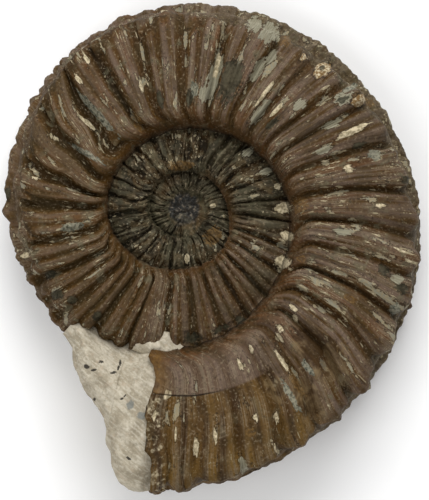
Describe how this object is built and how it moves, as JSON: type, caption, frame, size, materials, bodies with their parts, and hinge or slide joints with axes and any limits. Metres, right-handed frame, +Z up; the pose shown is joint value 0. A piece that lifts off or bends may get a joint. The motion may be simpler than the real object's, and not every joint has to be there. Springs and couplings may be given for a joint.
{
  "type": "ammonite fossil",
  "caption": "Ribbed and keeled ammonite fossil with a corded keel and pale limestone filling its mouth, lying on its flank as a display specimen.",
  "frame": {"origin": "on the surface that the fossil lies on, under the middle of its bounding box", "axes": "+Z up out of the flank that shows, +Y along the longest extent towards the side away from the mouth, +X so that the coil opens anticlockwise seen from below and clockwise seen from above, outward from its centre"},
  "size_m": [0.0764, 0.0901, 0.0234],
  "materials": {
    "fossil_shell": "dark brown fossil shell, satin, with worn pale flecks",
    "limestone": "matt pale grey-beige limestone"
  },
  "bodies": {
    "root": {"shell": "fossil_shell", "limestone_filling": "limestone"}
  },
  "joints": []
}
